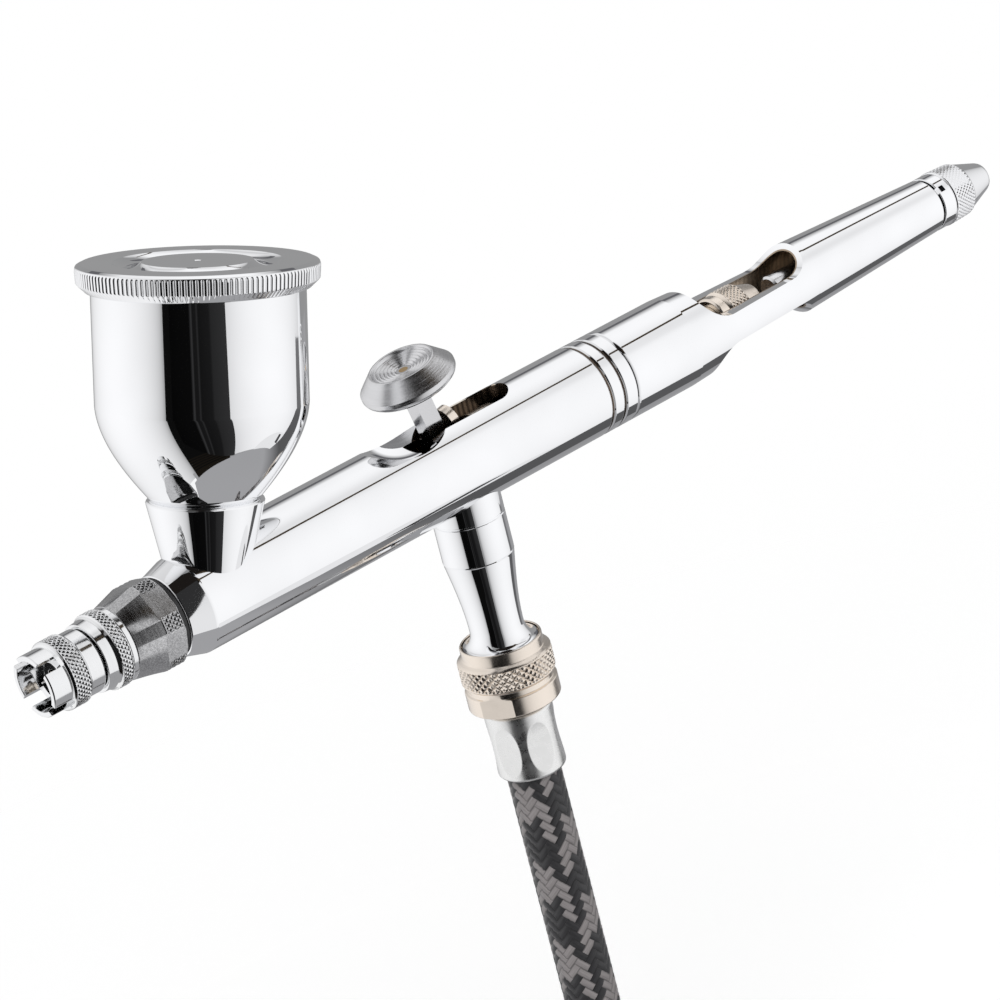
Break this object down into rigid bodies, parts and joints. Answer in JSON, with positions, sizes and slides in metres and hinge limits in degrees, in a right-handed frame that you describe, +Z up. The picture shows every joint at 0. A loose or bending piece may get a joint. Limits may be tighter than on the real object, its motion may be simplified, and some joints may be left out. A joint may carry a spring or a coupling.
{
  "type": "airbrush",
  "caption": "Pen-shaped gravity-feed airbrush with a lidded paint cup, a push-and-pull trigger, a cut-out handle with a preset stop, and a braided air hose.",
  "frame": {"origin": "on the body axis, at the middle of the plain grip at the front of the handle, where a holder's ring or clip takes the airbrush", "axes": "+X along the body axis towards the tail (the spray leaves towards -X), +Z up towards the cup and the trigger, +Y across"},
  "size_m": [0.1686, 0.1177, 0.1883],
  "materials": {
    "chrome": "polished chrome plate",
    "button_steel": "fine-turned chrome plate",
    "bright_steel": "ground stainless steel",
    "champagne_nickel": "nickel-plated brass, warm",
    "nozzle_nickel": "nickel-plated brass",
    "satin_nickel": "satin nickel plate on brass",
    "seal_rubber": "moulded rubber",
    "seal_white": "PTFE",
    "hose_braid": "braided cover",
    "strap_black": "woven strap"
  },
  "bodies": {
    "root": {"barrel": "chrome", "head": "chrome", "air_cap": "chrome", "needle_cap": "chrome", "cup": "chrome", "handle": "chrome", "valve_body": "chrome", "needle_spring": "bright_steel", "valve_spring": "bright_steel", "spring_case": "champagne_nickel", "packing_screw": "champagne_nickel", "valve_screw": "champagne_nickel", "nozzle": "nozzle_nickel", "hose_tail": "nozzle_nickel", "far_tail": "nozzle_nickel", "hose_ferrule": "satin_nickel", "far_ferrule": "satin_nickel", "head_seal": "seal_rubber", "rod_ring": "seal_rubber", "valve_packing": "seal_rubber", "hose_washer": "seal_rubber", "far_washer": "seal_rubber", "needle_packing": "seal_white", "hose_lead": "hose_braid", "hose_coil": "hose_braid", "hose_end": "hose_braid", "hose_tie": "strap_black"},
    "plunger": {"valve_plunger": "champagne_nickel", "trigger_pin": "bright_steel", "valve_seal": "seal_rubber"},
    "trigger": {"trigger_stem": "bright_steel", "trigger_button": "button_steel"},
    "lever": {"aux_lever": "chrome"},
    "needle_set": {"needle": "bright_steel", "needle_guide": "champagne_nickel", "chuck_nut": "champagne_nickel"},
    "lid": {"cup_lid": "chrome"},
    "rod": {"stop_rod": "bright_steel"},
    "knob": {"preset_knob": "chrome"},
    "nut": {"hose_nut": "champagne_nickel"},
    "far": {"far_nut": "champagne_nickel"}
  },
  "joints": [
    {"name": "valve_press", "type": "slide", "parent": "root", "child": "plunger", "axis": [0, 0, -1], "range_m": [0, 0.002], "stiffness_N_per_m": 400, "springref_m": -0.005, "deforming": ["valve_spring"]},
    {"name": "trigger_pull", "type": "hinge", "parent": "plunger", "child": "trigger", "pos_m": [-0.0328, 0, -0.0052], "axis": [0, 1, 0], "range_deg": [0, 26.7]},
    {"name": "needle_pull", "type": "slide", "parent": "root", "child": "needle_set", "axis": [1, 0, 0], "range_m": [0, 0.0024], "stiffness_N_per_m": 280, "springref_m": -0.008, "deforming": ["needle_spring"]},
    {"name": "lever_swing", "type": "hinge", "parent": "needle_set", "child": "lever", "pos_m": [-0.03116, 0, 0], "axis": [0, 1, 0], "range_deg": [0, 26.7]},
    {"name": "lid_lift", "type": "slide", "parent": "root", "child": "lid", "axis": [0.2773, 0, 0.9608], "range_m": [0, 0.045]},
    {"name": "knob_turn", "type": "hinge", "parent": "rod", "child": "knob", "pos_m": [0.062, 0, 0], "axis": [1, 0, 0], "range_deg": [0, 720]},
    {"name": "rod_travel", "type": "slide", "parent": "root", "child": "rod", "axis": [1, 0, 0], "range_m": [0, 0.002]},
    {"name": "nut_turn", "type": "hinge", "parent": "root", "child": "nut", "pos_m": [-0.0328, 0, -0.03], "axis": [0, 0, 1], "continuous": true},
    {"name": "far_nut_turn", "type": "hinge", "parent": "root", "child": "far", "pos_m": [-0.06211, -0.08053, -0.1377], "axis": [-0.342, -0.9397, 0], "continuous": true}
  ],
  "couplings": [
    {"joint": "trigger_pull", "follows": "needle_pull", "rad_per_m": 194.16},
    {"joint": "lever_swing", "follows": "needle_pull", "rad_per_m": 194.16},
    {"joint": "knob_turn", "follows": "rod_travel", "rad_per_m": 6283.1}
  ]
}
